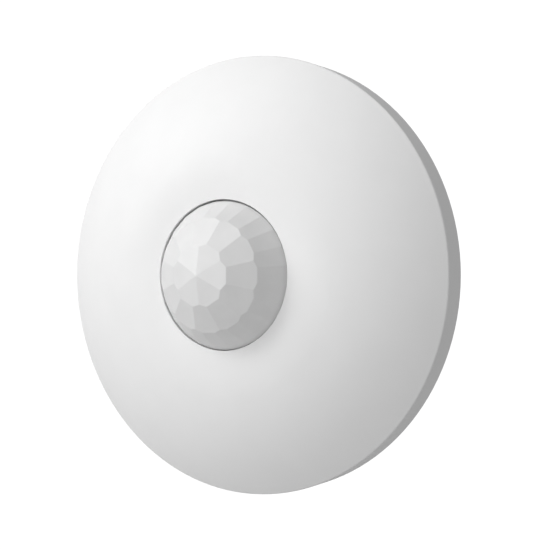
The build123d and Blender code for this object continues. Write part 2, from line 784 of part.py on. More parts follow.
# ---------------------------------------------------------------- enrolment button
enrol_top = board_top + 3.4
with BuildPart() as enrol_switch:
    with BuildSketch(at_depth(board_top)):
        with Locations(enrol_place):
            Rectangle(6.0, 6.0)
    extrude(amount=enrol_top - board_top)
    chamfer(enrol_switch.edges().filter_by(Axis.Y), length=0.6)
    draw_bars([enrol_place], 1.8, enrol_top - 1.6, enrol_top, Mode.SUBTRACT)
save(enrol_switch, "enrol_switch")

with BuildPart() as enrol_button:
    draw_bars([enrol_place], 1.7, enrol_top - 1.2, enrol_top + 0.8)
    fillet(enrol_button.edges().group_by(Axis.Y)[0], radius=0.3)
save(enrol_button, "enrol_button")

# ---------------------------------------------------------------- setting switches
dip_top = board_top + 2.8
dip_slot_length = 4.0
dip_slot_depth = 1.5
slider_length = dip_slot_length - dip_travel - 0.2
slider_start_x = dip_place[0] - dip_travel / 2

with BuildPart() as dip_switch_body:
    with BuildSketch(at_depth(board_top)):
        with Locations(dip_place):
            Rectangle(6.2, 3 * dip_pitch + 0.9)
    extrude(amount=dip_top - board_top)
    with BuildSketch(at_depth(dip_top - dip_slot_depth)):
        with Locations(dip_place):
            with GridLocations(1, dip_pitch, 1, 3):
                Rectangle(dip_slot_length, 1.4)
    extrude(amount=dip_slot_depth, mode=Mode.SUBTRACT)
save(dip_switch_body, "dip_switch_body")

for number in (1, 2, 3):
    slider_place = (slider_start_x, dip_place[1] + (2 - number) * dip_pitch)
    with BuildPart() as dip_slider:
        with BuildSketch(at_depth(dip_top - dip_slot_depth + 0.1)):
            with Locations(slider_place):
                Rectangle(slider_length, 1.2)
        extrude(amount=dip_slot_depth + 0.5)
        fillet(dip_slider.edges().group_by(Axis.Y)[0], radius=0.15)
    save(dip_slider, f"dip_slider_{number}")
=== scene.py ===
import json
import math

import bmesh
import bpy
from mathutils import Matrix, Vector


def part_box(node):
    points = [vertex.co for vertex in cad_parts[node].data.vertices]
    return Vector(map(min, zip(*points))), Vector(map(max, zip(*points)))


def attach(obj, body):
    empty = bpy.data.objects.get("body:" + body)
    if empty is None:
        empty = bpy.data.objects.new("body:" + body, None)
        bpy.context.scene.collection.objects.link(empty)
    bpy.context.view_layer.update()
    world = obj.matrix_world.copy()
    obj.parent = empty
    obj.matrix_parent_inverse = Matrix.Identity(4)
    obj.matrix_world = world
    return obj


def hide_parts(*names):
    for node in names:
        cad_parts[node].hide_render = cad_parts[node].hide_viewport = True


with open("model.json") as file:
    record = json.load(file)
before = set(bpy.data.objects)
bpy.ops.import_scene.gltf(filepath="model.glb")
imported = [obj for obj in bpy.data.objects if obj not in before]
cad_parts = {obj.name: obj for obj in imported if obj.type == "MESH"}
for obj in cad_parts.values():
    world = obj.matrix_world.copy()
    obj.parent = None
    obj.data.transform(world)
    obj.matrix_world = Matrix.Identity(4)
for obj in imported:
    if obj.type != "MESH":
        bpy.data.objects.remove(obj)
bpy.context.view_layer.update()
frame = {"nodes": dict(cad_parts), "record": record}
nodes = frame["nodes"]
record = frame["record"]
mm = 0.001

slot_of = {part["node"]: part["material_slot"] for part in record["subparts"]}
colour_of = {material["slot"]: material["base_color"][:3] for material in record["materials"]}

# ---------------------------------------------------------------- places taken from the frame
# The room is on the -Y side: the lowest Y of a node is its face towards the room.
board_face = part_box("circuit_board")[0].y
lens_low, lens_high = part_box("pir_lens")
lens_apex = Vector(((lens_low.x + lens_high.x) / 2, lens_low.y, (lens_low.z + lens_high.z) / 2))
cell_nodes = {"battery_left": 1, "battery_right": -1}  # which way the cell's plus end points on Z
capacitor_low, capacitor_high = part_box("storage_capacitor")
capacitor_middle = (capacitor_low + capacitor_high) / 2
capacitor_radius = (capacitor_high.z - capacitor_low.z) / 2
capacitor_foot_x = capacitor_high.x + 1.6 * mm
capacitor_lead_z = (capacitor_middle.z - 1.25 * mm, capacitor_middle.z + 1.25 * mm)
antenna_foot_z = 35.2 * mm

# ---------------------------------------------------------------- camera
camera_distance = 0.5
camera_azimuth = math.radians(31.67)
focal_length_mm = 128.55
aim_to_right = 0.00163

camera_right = Vector((math.cos(camera_azimuth), math.sin(camera_azimuth), 0))
camera_back = Vector((math.sin(camera_azimuth), -math.cos(camera_azimuth), 0))
up = Vector((0, 0, 1))


def link(thing):
    """Puts an object into the scene."""
    bpy.context.scene.collection.objects.link(thing)
    return thing


def look_at(thing, target):
    """Turns a camera or light at its place so that it points at the target."""
    thing.rotation_euler = (Vector(target) - thing.location).to_track_quat("-Z", "Y").to_euler()


def add_camera():
    """The camera stands level with the object, to the right of the lens's axis."""
    data = bpy.data.cameras.new("camera")
    data.lens = focal_length_mm
    data.sensor_width = 36.0
    data.clip_start = 0.01
    camera = link(bpy.data.objects.new("camera", data))
    camera.location = camera_back * camera_distance
    look_at(camera, camera_right * aim_to_right)
    bpy.context.scene.camera = camera


# ---------------------------------------------------------------- studio
light_distance = 1.5
light_size = 0.7
floor_radius = 1.0
floor_level = -0.35
backdrop_radius = 4.0


def add_area_light(name, direction, power):
    """A square soft light on the object; its direction is (right, up, towards) as the camera sees."""
    data = bpy.data.lights.new(name, "AREA")
    data.size = light_size
    data.energy = power
    light = link(bpy.data.objects.new(name, data))
    to_right, to_top, to_camera = direction
    place = camera_right * to_right + up * to_top + camera_back * to_camera
    light.location = place.normalized() * light_distance
    look_at(light, (0, 0, 0))


def add_world(strength):
    """White light from every side, which stands for the studio's walls."""
    world = bpy.data.worlds.new("studio")
    world.use_nodes = True
    background = world.node_tree.nodes["Background"]
    background.inputs["Color"].default_value = (1, 1, 1, 1)
    background.inputs["Strength"].default_value = strength
    bpy.context.scene.world = world


def add_stage():
    """A pale floor under the object and a white backdrop all round, which only the camera sees."""
    builder = bmesh.new()
    bmesh.ops.create_circle(builder, cap_ends=True, segments=96, radius=floor_radius)
    floor = link(bpy.data.objects.new("floor", bpy.data.meshes.new("floor")))
    builder.to_mesh(floor.data)
    floor.location.z = floor_level
    floor.visible_diffuse = False
    paint, _, shader, _ = start_material("floor_paint")
    shader.inputs["Base Color"].default_value = (0.9, 0.9, 0.9, 1)
    shader.inputs["Roughness"].default_value = 0.9
    floor.data.materials.append(paint)

    builder.clear()
    bmesh.ops.create_uvsphere(builder, u_segments=48, v_segments=24, radius=backdrop_radius)
    backdrop = link(bpy.data.objects.new("backdrop", bpy.data.meshes.new("backdrop")))
    builder.to_mesh(backdrop.data)
    builder.free()
    paint, _, shader, _ = start_material("backdrop_white")
    shader.inputs["Base Color"].default_value = (0, 0, 0, 1)
    shader.inputs["Emission Color"].default_value = (1, 1, 1, 1)
    shader.inputs["Emission Strength"].default_value = 1.05
    backdrop.data.materials.append(paint)
    backdrop.visible_diffuse = False
    backdrop.visible_glossy = False
    backdrop.visible_transmission = False
    backdrop.visible_shadow = False


# ---------------------------------------------------------------- material tools
def start_material(name):
    """A new material, its node tree, its shader and the object's own coordinates in metres."""
    material = bpy.data.materials.new(name)
    material.use_nodes = True
    tree = material.node_tree
    place = tree.nodes.new("ShaderNodeTexCoord").outputs["Object"]
    return material, tree, tree.nodes["Principled BSDF"], place


def add_noise(tree, place, size, detail=2.0, stretch=(1, 1, 1)):
    """Noise with lumps about this many metres across, drawn out along an axis by its stretch."""
    scaling = tree.nodes.new("ShaderNodeMapping")
    scaling.inputs["Scale"].default_value = [1 / (size * longer) for longer in stretch]
    noise = tree.nodes.new("ShaderNodeTexNoise")
    noise.inputs["Scale"].default_value = 1.0
    noise.inputs["Detail"].default_value = detail
    tree.links.new(place, scaling.inputs["Vector"])
    tree.links.new(scaling.outputs["Vector"], noise.inputs["Vector"])
    return noise.outputs["Fac"]


def add_cells(tree, place, size, feature="F1"):
    """The distance to the nearest of scattered points this many metres apart, or to their borders."""
    cells = tree.nodes.new("ShaderNodeTexVoronoi")
    cells.feature = feature
    cells.inputs["Scale"].default_value = 1 / size
    tree.links.new(place, cells.inputs["Vector"])
    return cells.outputs["Distance"]


def add_ramp(tree, value, stops):
    """Turns a value into a colour by a few (position, colour) stops."""
    node = tree.nodes.new("ShaderNodeValToRGB")
    elements = node.color_ramp.elements
    while len(elements) < len(stops):
        elements.new(0.5)
    for element, (position, colour) in zip(elements, stops):
        element.position = position
        element.color = (*colour, 1)
    tree.links.new(value, node.inputs["Fac"])
    return node.outputs["Color"]


def spread(tree, value, low, high, start=0.3, end=0.7):
    """Stretches a value that runs from start to end so that it runs from low to high."""
    node = tree.nodes.new("ShaderNodeMapRange")
    for name, number in (("From Min", start), ("From Max", end), ("To Min", low), ("To Max", high)):
        node.inputs[name].default_value = number
    tree.links.new(value, node.inputs["Value"])
    return node.outputs["Result"]


def compute(tree, operation, first, second=None):
    """One step of arithmetic on a value, with a number or another value."""
    node = tree.nodes.new("ShaderNodeMath")
    node.operation = operation
    tree.links.new(first, node.inputs[0])
    if isinstance(second, (int, float)):
        node.inputs[1].default_value = second
    elif second is not None:
        tree.links.new(second, node.inputs[1])
    return node.outputs["Value"]


def mix_colours(tree, factor, first, second):
    """Goes from the first colour to the second as the factor goes from 0 to 1."""
    node = tree.nodes.new("ShaderNodeMix")
    node.data_type = "RGBA"
    tree.links.new(factor, node.inputs[0])
    for socket, colour in ((node.inputs[6], first), (node.inputs[7], second)):
        if isinstance(colour, tuple):
            socket.default_value = (*colour, 1)
        else:
            tree.links.new(colour, socket)
    return node.outputs[2]


def raise_surface(tree, shader, heights):
    """Bumps the surface by a stack of (height value, metres at height 1) pairs, coarse to fine."""
    normal = None
    for height, depth in heights:
        bump = tree.nodes.new("ShaderNodeBump")
        bump.inputs["Strength"].default_value = 1.0
        bump.inputs["Distance"].default_value = depth
        tree.links.new(height, bump.inputs["Height"])
        if normal is not None:
            tree.links.new(normal, bump.inputs["Normal"])
        normal = bump.outputs["Normal"]
    tree.links.new(normal, shader.inputs["Normal"])


def tint(colour, factor):
    """A lighter or darker shade of a colour."""
    return tuple(min(1.0, channel * factor) for channel in colour)


# ---------------------------------------------------------------- materials
def make_moulded(slot, roughness, grain_size, grain_depth, mottle=0.03, specular=0.5):
    """Moulded plastic: a colour that clouds slightly as the melt flowed, and a fine eroded grain."""
    material, tree, shader, place = start_material(slot)
    colour = colour_of[slot]
    clouds = add_noise(tree, place, 9 * mm, detail=3)
    stops = ((0.3, tint(colour, 1 - mottle)), (0.7, tint(colour, 1 + mottle / 3)))
    tree.links.new(add_ramp(tree, clouds, stops), shader.inputs["Base Color"])
    grain = add_noise(tree, place, grain_size, detail=3)
    shine = spread(tree, grain, roughness - 0.05, roughness + 0.07)
    tree.links.new(shine, shader.inputs["Roughness"])
    shader.inputs["Specular IOR Level"].default_value = specular
    waves = add_noise(tree, place, 4 * mm, detail=1)
    raise_surface(tree, shader, ((waves, 0.006 * mm), (grain, grain_depth)))
    return material


# how far the lens's apex and the middles of its facets are from the point they all face away from
lens_apex_reach = 20.52 * mm
lens_facet_reach = 20.03 * mm
groove_pitch = 0.45 * mm


def make_lens_plastic(slot):
    """Milky polyethylene: light spreads under the skin, and faint rings show on each facet."""
    material, tree, shader, place = start_material(slot)
    colour = colour_of[slot]
    clouds = add_noise(tree, place, 5 * mm, detail=3)
    stops = ((0.3, tint(colour, 0.975)), (0.7, tint(colour, 1.01)))
    tree.links.new(add_ramp(tree, clouds, stops), shader.inputs["Base Color"])
    grain = add_noise(tree, place, 0.25 * mm, detail=3)
    tree.links.new(spread(tree, grain, 0.34, 0.44), shader.inputs["Roughness"])
    shader.inputs["Subsurface Weight"].default_value = 0.25
    shader.inputs["Subsurface Radius"].default_value = (1.0, 1.0, 1.0)
    shader.inputs["Subsurface Scale"].default_value = 0.6 * mm
    shader.inputs["IOR"].default_value = 1.5
    # each facet's rings are round the point where the facet touches the lens's own sphere
    facing = tree.nodes.new("ShaderNodeTexCoord").outputs["Normal"]
    reach = tree.nodes.new("ShaderNodeVectorMath")
    reach.operation = "MULTIPLY_ADD"
    reach.inputs[1].default_value = (lens_facet_reach,) * 3
    reach.inputs[2].default_value = lens_apex + Vector((0, lens_apex_reach, 0))
    tree.links.new(facing, reach.inputs[0])
    distance = tree.nodes.new("ShaderNodeVectorMath")
    distance.operation = "DISTANCE"
    tree.links.new(place, distance.inputs[0])
    tree.links.new(reach.outputs["Vector"], distance.inputs[1])
    turns = compute(tree, "MULTIPLY", distance.outputs["Value"], 2 * math.pi / groove_pitch)
    rings = compute(tree, "SINE", turns)
    raise_surface(tree, shader, ((clouds, 0.01 * mm), (rings, 0.0006 * mm), (grain, 0.0015 * mm)))
    return material


def make_foam(slot):
    """Closed-cell foam: small round cells between thin walls, with painted shade darkening each cell's
    hollow and painted light on the walls between.
    """
    material, tree, shader, place = start_material(slot)
    cells = add_cells(tree, place, 0.35 * mm)
    # painted shade and painted light: darkest in the middle of each cell, where the bump sinks, and
    # lighter on the walls
    stops = ((0.1, tint(colour_of[slot], 0.5)), (0.7, tint(colour_of[slot], 1.6)))
    tree.links.new(add_ramp(tree, cells, stops), shader.inputs["Base Color"])
    tree.links.new(spread(tree, cells, 0.85, 1.0), shader.inputs["Roughness"])
    raise_surface(tree, shader, ((cells, 0.08 * mm),))
    return material


def make_rubber(slot):
    """Soft moulded rubber, dull, with a bloom of dust in its clouds."""
    material, tree, shader, place = start_material(slot)
    clouds = add_noise(tree, place, 2 * mm, detail=5)
    stops = ((0.35, colour_of[slot]), (0.75, tint(colour_of[slot], 1.9)))
    tree.links.new(add_ramp(tree, clouds, stops), shader.inputs["Base Color"])
    grain = add_noise(tree, place, 0.12 * mm, detail=3)
    tree.links.new(spread(tree, grain, 0.7, 0.9), shader.inputs["Roughness"])
    raise_surface(tree, shader, ((grain, 0.02 * mm),))
    return material


def make_metal(slot, roughness, streak=(1, 1, 1), streak_size=0.08 * mm, relief=0.002 * mm, stain=0.12):
    """Plated metal: streaks along the way it was rolled, drawn or turned, and slow dull stains."""
    material, tree, shader, place = start_material(slot)
    colour = colour_of[slot]
    stains = add_noise(tree, place, 3 * mm, detail=4)
    stops = ((0.3, tint(colour, 1 - stain)), (0.65, tint(colour, 1 + stain)))
    tree.links.new(add_ramp(tree, stains, stops), shader.inputs["Base Color"])
    shader.inputs["Metallic"].default_value = 1.0
    streaks = add_noise(tree, place, streak_size, detail=3, stretch=streak)
    dullness = compute(tree, "MULTIPLY", compute(tree, "ADD", streaks, stains), 0.5)
    shine = spread(tree, dullness, roughness - 0.08, roughness + 0.14)
    tree.links.new(shine, shader.inputs["Roughness"])
    raise_surface(tree, shader, ((stains, 0.01 * mm), (streaks, relief)))
    return material


def make_tinplate(slot):
    """Drawn tinplate, with the large soft spangles of its tin."""
    material, tree, shader, place = start_material(slot)
    spangles = tree.nodes.new("ShaderNodeTexVoronoi")
    spangles.inputs["Scale"].default_value = 1 / (1.6 * mm)
    tree.links.new(place, spangles.inputs["Vector"])
    shade = tree.nodes.new("ShaderNodeSeparateColor")
    tree.links.new(spangles.outputs["Color"], shade.inputs["Color"])
    stops = ((0.0, tint(colour_of[slot], 0.88)), (1.0, tint(colour_of[slot], 1.1)))
    tree.links.new(add_ramp(tree, shade.outputs["Red"], stops), shader.inputs["Base Color"])
    shader.inputs["Metallic"].default_value = 1.0
    tree.links.new(spread(tree, shade.outputs["Green"], 0.24, 0.4, 0, 1), shader.inputs["Roughness"])
    scratches = add_noise(tree, place, 0.06 * mm, detail=2, stretch=(12, 12, 1))
    raise_surface(tree, shader, ((scratches, 0.002 * mm),))
    return material


def make_board(slot):
    """Green solder mask over woven glass, and the bare tan laminate on the sawn edges."""
    material, tree, shader, place = start_material(slot)
    weave = []
    for direction in ("X", "Z"):
        threads = tree.nodes.new("ShaderNodeTexWave")
        threads.bands_direction = direction
        threads.inputs["Scale"].default_value = 1 / (2.4 * mm)
        threads.inputs["Distortion"].default_value = 0.6
        tree.links.new(place, threads.inputs["Vector"])
        weave.append(threads.outputs["Fac"])
    cloth = compute(tree, "MULTIPLY", weave[0], weave[1])
    clouds = add_noise(tree, place, 6 * mm, detail=3)
    depth = compute(tree, "ADD", compute(tree, "MULTIPLY", cloth, 0.3), clouds)
    stops = ((0.3, tint(colour_of[slot], 0.75)), (0.95, tint(colour_of[slot], 1.25)))
    mask = add_ramp(tree, depth, stops)
    facing = tree.nodes.new("ShaderNodeSeparateXYZ")
    tree.links.new(tree.nodes.new("ShaderNodeTexCoord").outputs["Normal"], facing.inputs["Vector"])
    flat = compute(tree, "GREATER_THAN", compute(tree, "ABSOLUTE", facing.outputs["Y"]), 0.5)
    tree.links.new(mix_colours(tree, flat, (0.42, 0.36, 0.20), mask), shader.inputs["Base Color"])
    tree.links.new(spread(tree, flat, 0.85, 0.32, 0, 1), shader.inputs["Roughness"])
    raise_surface(tree, shader, ((clouds, 0.02 * mm), (cloth, 0.004 * mm)))
    return material


def make_filter_window(slot):
    """Polished silicon with a coating whose tint drifts from violet to blue grey."""
    material, tree, shader, place = start_material(slot)
    drift = add_noise(tree, place, 4 * mm, detail=1)
    stops = ((0.3, tint(colour_of[slot], 0.8)), (0.7, (0.15, 0.20, 0.30)))
    tree.links.new(add_ramp(tree, drift, stops), shader.inputs["Base Color"])
    shader.inputs["Metallic"].default_value = 0.7
    dust = add_noise(tree, place, 0.3 * mm, detail=4)
    tree.links.new(spread(tree, dust, 0.08, 0.2), shader.inputs["Roughness"])
    raise_surface(tree, shader, ((drift, 0.004 * mm),))
    return material


def make_indicator(slot):
    """Diffused red epoxy: glossy, and a little light travels inside."""
    material, tree, shader, place = start_material(slot)
    clouds = add_noise(tree, place, 1.2 * mm, detail=2)
    stops = ((0.3, tint(colour_of[slot], 0.8)), (0.7, tint(colour_of[slot], 1.2)))
    tree.links.new(add_ramp(tree, clouds, stops), shader.inputs["Base Color"])
    tree.links.new(spread(tree, clouds, 0.12, 0.22), shader.inputs["Roughness"])
    shader.inputs["Subsurface Weight"].default_value = 0.4
    shader.inputs["Subsurface Radius"].default_value = (1.0, 0.2, 0.15)
    shader.inputs["Subsurface Scale"].default_value = 0.8 * mm
    raise_surface(tree, shader, ((clouds, 0.01 * mm),))
    return material


def make_wire_enamel(slot):
    """Copper wire under clear enamel."""
    material, tree, shader, place = start_material(slot)
    streaks = add_noise(tree, place, 0.15 * mm, detail=3)
    stops = ((0.3, tint(colour_of[slot], 0.8)), (0.7, tint(colour_of[slot], 1.1)))
    tree.links.new(add_ramp(tree, streaks, stops), shader.inputs["Base Color"])
    shader.inputs["Metallic"].default_value = 1.0
    shader.inputs["Coat Weight"].default_value = 0.8
    shader.inputs["Coat Roughness"].default_value = 0.08
    tree.links.new(spread(tree, streaks, 0.25, 0.4), shader.inputs["Roughness"])
    raise_surface(tree, shader, ((streaks, 0.003 * mm),))
    return material


def make_banded_sleeve(slot, node, across, along, band_colour, low=-1.0, high=2.0):
    """A shrunk or printed sleeve with one plain band, between two fractions of the node's box.

    The band lies across one axis, the streaks run along the other, and a fraction beyond 0 or 1
    leaves that end of the band open.
    """
    material, tree, shader, place = start_material(slot + "_" + node)
    corner_low, corner_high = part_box(node)
    parts = tree.nodes.new("ShaderNodeSeparateXYZ")
    tree.links.new(place, parts.inputs["Vector"])
    start, end = corner_low["XYZ".index(across)], corner_high["XYZ".index(across)]
    fraction = spread(tree, parts.outputs[across], 0, 1, start, end)
    inside = compute(tree, "GREATER_THAN", fraction, low)
    below = compute(tree, "LESS_THAN", fraction, high)
    band = compute(tree, "MULTIPLY", inside, below)
    stretch = tuple(20 if axis == along else 1 for axis in "XYZ")
    streaks = add_noise(tree, place, 0.2 * mm, detail=3, stretch=stretch)
    colour = colour_of[slot]
    plain = add_ramp(tree, streaks, ((0.3, tint(colour, 0.85)), (0.7, tint(colour, 1.2))))
    printed = add_ramp(tree, streaks, ((0.3, tint(band_colour, 0.93)), (0.7, band_colour)))
    tree.links.new(mix_colours(tree, band, plain, printed), shader.inputs["Base Color"])
    wrinkles = add_noise(tree, place, 1.5 * mm, detail=3, stretch=stretch)
    tree.links.new(spread(tree, wrinkles, 0.22, 0.38), shader.inputs["Roughness"])
    raise_surface(tree, shader, ((wrinkles, 0.015 * mm), (streaks, 0.002 * mm)))
    return material


def make_chip(slot, top, side):
    """A ceramic chip: one colour on the face towards the room and another on the sawn sides; on the
    resistors this is the black top and the pale ceramic, on the capacitors the sides get a darker copy of
    the top's colour, which is painted shade.
    """
    material, tree, shader, place = start_material(slot)
    facing = tree.nodes.new("ShaderNodeSeparateXYZ")
    tree.links.new(tree.nodes.new("ShaderNodeTexCoord").outputs["Normal"], facing.inputs["Vector"])
    # the face towards the room keeps the top colour; on the capacitors the darker side colour is painted
    # shade
    topmost = compute(tree, "LESS_THAN", facing.outputs["Y"], -0.7)
    speckle = add_noise(tree, place, 0.12 * mm, detail=4)
    upper = add_ramp(tree, speckle, ((0.3, tint(top, 0.8)), (0.7, tint(top, 1.15))))
    lower = add_ramp(tree, speckle, ((0.3, tint(side, 0.9)), (0.7, side)))
    tree.links.new(mix_colours(tree, topmost, lower, upper), shader.inputs["Base Color"])
    tree.links.new(spread(tree, speckle, 0.35, 0.6), shader.inputs["Roughness"])
    raise_surface(tree, shader, ((speckle, 0.01 * mm),))
    return material


cell_band_colour = (0.62, 0.64, 0.66)
capacitor_band_colour = (0.50, 0.53, 0.56)
paints = {
    "white_shell": make_moulded("white_shell", 0.52, 0.16 * mm, 0.0012 * mm, mottle=0.012, specular=0.35),
    "housing_plastic": make_moulded("housing_plastic", 0.5, 0.2 * mm, 0.004 * mm),
    "plate_plastic": make_moulded("plate_plastic", 0.55, 0.25 * mm, 0.006 * mm),
    "lens_plastic": make_lens_plastic("lens_plastic"),
    "retainer_plastic": make_moulded("retainer_plastic", 0.6, 0.2 * mm, 0.008 * mm, mottle=0.1),
    "foam": make_foam("foam"),
    "soft_rubber": make_rubber("soft_rubber"),
    "screw_steel": make_metal("screw_steel", 0.32, stain=0.18),
    "board_laminate": make_board("board_laminate"),
    "can_metal": make_metal("can_metal", 0.26, streak=(1, 8, 1)),
    "filter_silicon": make_filter_window("filter_silicon"),
    "led_red": make_indicator("led_red"),
    "chip_epoxy": make_moulded("chip_epoxy", 0.62, 0.08 * mm, 0.01 * mm, mottle=0.15),
    "tinned_metal": make_metal("tinned_metal", 0.24, relief=0.004 * mm, stain=0.2),
    "shield_metal": make_tinplate("shield_metal"),
    "antenna_copper": make_wire_enamel("antenna_copper"),
    "capacitor_sleeve": make_banded_sleeve(
        "capacitor_sleeve", "storage_capacitor", "Z", "X", capacitor_band_colour, low=0.84
    ),
    "resistor_ceramic": make_chip("resistor_ceramic", (0.03, 0.03, 0.035), (0.75, 0.75, 0.73)),
    # the sides are the top's colour made darker: painted shade on the capacitors' sides
    "capacitor_ceramic": make_chip("capacitor_ceramic", (0.50, 0.37, 0.24), (0.46, 0.34, 0.22)),
    "cell_steel": make_metal("cell_steel", 0.22, streak=(1, 1, 6)),
    "cell_sleeve": make_banded_sleeve(
        "cell_sleeve", "battery_sleeve_left", "Z", "Z", cell_band_colour, low=0.78
    ),
    "contact_metal": make_metal("contact_metal", 0.28, streak=(1, 10, 10)),
    "spring_wire": make_metal("spring_wire", 0.3, stain=0.15),
    "switch_black": make_moulded("switch_black", 0.5, 0.15 * mm, 0.006 * mm, mottle=0.12),
    "plunger_white": make_moulded("plunger_white", 0.4, 0.12 * mm, 0.003 * mm),
    "button_grey": make_moulded("button_grey", 0.45, 0.12 * mm, 0.004 * mm, mottle=0.05),
    "dip_blue": make_moulded("dip_blue", 0.45, 0.15 * mm, 0.005 * mm, mottle=0.1),
}
turned_sleeve = make_banded_sleeve(
    "cell_sleeve", "battery_sleeve_right", "Z", "Z", cell_band_colour, high=0.22
)


def paint_nodes():
    """Gives each CAD node the material of its slot."""
    for name, node in nodes.items():
        node.data.materials.clear()
        node.data.materials.append(paints[slot_of[name]])
    nodes["battery_sleeve_right"].data.materials[0] = turned_sleeve


# ---------------------------------------------------------------- mesh tools
def on_board(x, z, height=0.0):
    """The point above the board's face towards the room; x, z and height are millimetres."""
    return Vector((x * mm, board_face - height * mm, z * mm))


def solid_boxes(node):
    """The lowest and highest corners of each separate solid in a CAD node."""
    mesh = bmesh.new()
    mesh.from_mesh(nodes[node].data)
    bmesh.ops.remove_doubles(mesh, verts=mesh.verts, dist=0.001 * mm)
    unseen = set(mesh.verts)
    boxes = []
    while unseen:
        waiting = [unseen.pop()]
        found = []
        while waiting:
            vert = waiting.pop()
            found.append(vert.co.copy())
            for edge in vert.link_edges:
                other = edge.other_vert(vert)
                if other in unseen:
                    unseen.remove(other)
                    waiting.append(other)
        low = Vector([min(co[axis] for co in found) for axis in range(3)])
        high = Vector([max(co[axis] for co in found) for axis in range(3)])
        boxes.append((low, high))
    mesh.free()
    return sorted(boxes, key=lambda box: (round(box[0].x, 5), round(box[0].z, 5)))


def add_block(mesh, low, high, bevel):
    """Adds a block between two corners, with its edges rounded."""
    made = bmesh.ops.create_cube(mesh, size=1.0)["verts"]
    middle, size = (low + high) / 2, high - low
    for vert in made:
        vert.co = Vector([middle[axis] + vert.co[axis] * size[axis] for axis in range(3)])
    edges = list({edge for vert in made for edge in vert.link_edges})
    bmesh.ops.bevel(mesh, geom=edges, offset=bevel, segments=2, affect="EDGES", clamp_overlap=True)


def add_lathe(mesh, profile, centre, direction, segments=24, closed=False):
    """Adds the solid that (radius, height) points make about an axis, closed into a ring or not."""
    turn = Vector(direction).to_track_quat("Z", "Y")
    rings = []
    for radius, height in profile:
        count = segments if radius > 0 else 1
        angles = [2 * math.pi * number / segments for number in range(count)]
        points = [Vector((radius * math.cos(a), radius * math.sin(a), height)) for a in angles]
        rings.append([mesh.verts.new(centre + turn @ point) for point in points])
    pairs = list(zip(rings, rings[1:]))
    if closed:
        pairs.append((rings[-1], rings[0]))
    for lower, upper in pairs:
        for number in range(segments):
            corners = [lower[number % len(lower)], lower[(number + 1) % segments % len(lower)]]
            corners += [upper[(number + 1) % segments % len(upper)], upper[number % len(upper)]]
            mesh.faces.new(list(dict.fromkeys(corners)))


def add_strip(mesh, route, width, height, base=0.0):
    """Adds a flat closed strip on the board along a route of (x, z) points in millimetres."""
    sides = []
    for number, point in enumerate(route):
        here = Vector(point)
        before = Vector(route[max(number - 1, 0)])
        after = Vector(route[min(number + 1, len(route) - 1)])
        arriving = (here - before).normalized() if number > 0 else (after - here).normalized()
        leaving = (after - here).normalized() if number < len(route) - 1 else arriving
        mitre = (arriving + leaving).normalized()
        across = Vector((-mitre.y, mitre.x)) * (width / 2 / max(mitre.dot(arriving), 0.5))
        left, right = here + across, here - across
        corners = ((left, base), (right, base), (right, base + height), (left, base + height))
        sides.append([mesh.verts.new(on_board(spot.x, spot.y, level)) for spot, level in corners])
    for near, far in zip(sides, sides[1:]):
        for corner in range(4):
            following = (corner + 1) % 4
            mesh.faces.new((near[corner], near[following], far[following], far[corner]))
    mesh.faces.new(sides[0])
    mesh.faces.new(sides[-1])


def cut_corners(route, size):
    """Replaces each inner corner of a route with a short slanted run, as board traces have."""
    points = [Vector(point) for point in route]
    cut = [points[0]]
    for before, corner, after in zip(points, points[1:], points[2:]):
        cut.append(corner + (before - corner).normalized() * size)
        cut.append(corner + (after - corner).normalized() * size)
    return cut + [points[-1]]


def make_piece(name, mesh, body, slot, smooth_angle=35):
    """Finishes a mesh as a piece of the object that rides on a body."""
    bmesh.ops.recalc_face_normals(mesh, faces=mesh.faces)
    data = bpy.data.meshes.new(name)
    mesh.to_mesh(data)
    mesh.free()
    if smooth_angle:
        data.shade_smooth()
        data.set_sharp_from_angle(angle=math.radians(smooth_angle))
    data.materials.append(paints[slot])
    piece = link(bpy.data.objects.new(name, data))
    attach(piece, body)
    return piece


def make_wires(name, routes, radius, body, slot):
    """Round wires of one thickness that bend smoothly along their routes."""
    data = bpy.data.curves.new(name, "CURVE")
    data.dimensions = "3D"
    data.bevel_depth = radius
    data.bevel_resolution = 3
    data.use_fill_caps = True
    for route in routes:
        spline = data.splines.new("NURBS")
        spline.points.add(len(route) - 1)
        for point, place in zip(spline.points, route):
            point.co = (*place, 1)
        spline.order_u = 3
        spline.use_endpoint_u = True
    data.materials.append(paints[slot])
    piece = link(bpy.data.objects.new(name, data))
    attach(piece, body)


# ---------------------------------------------------------------- lens
facet_edge_round = 0.07 * mm
facets_start = lens_high.y - 4.5 * mm
flat_angle = math.radians(0.6)
sharp_angle = math.radians(25)


def is_facet(face):
    """True for the flat outer facets: they face the room and lie beyond the cover's lip."""
    return face.normal.y < -0.4 and face.calc_center_median().y < facets_start


def make_lens():
    """The lens with the edges between its facets slightly rounded, as they come from a mould."""
    mesh = bmesh.new()
    mesh.from_mesh(nodes["pir_lens"].data)
    bmesh.ops.remove_doubles(mesh, verts=mesh.verts, dist=0.001 * mm)
    bmesh.ops.dissolve_limit(mesh, angle_limit=flat_angle, verts=mesh.verts, edges=mesh.edges)
    ridges = []
    for edge in mesh.edges:
        if len(edge.link_faces) == 2 and all(is_facet(face) for face in edge.link_faces):
            ridges.append(edge)
    bmesh.ops.bevel(mesh, geom=ridges, offset=facet_edge_round, segments=2, affect="EDGES")
    for face in mesh.faces:
        face.smooth = not is_facet(face)
    for edge in mesh.edges:
        edge.smooth = edge.calc_face_angle(0) < sharp_angle
    lens = make_piece("faceted_lens", mesh, "cover", "lens_plastic", smooth_angle=None)
    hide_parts("pir_lens")


# ---------------------------------------------------------------- copper, solder and ink on the board
trace_height = 0.04
screw_circle = 43.3


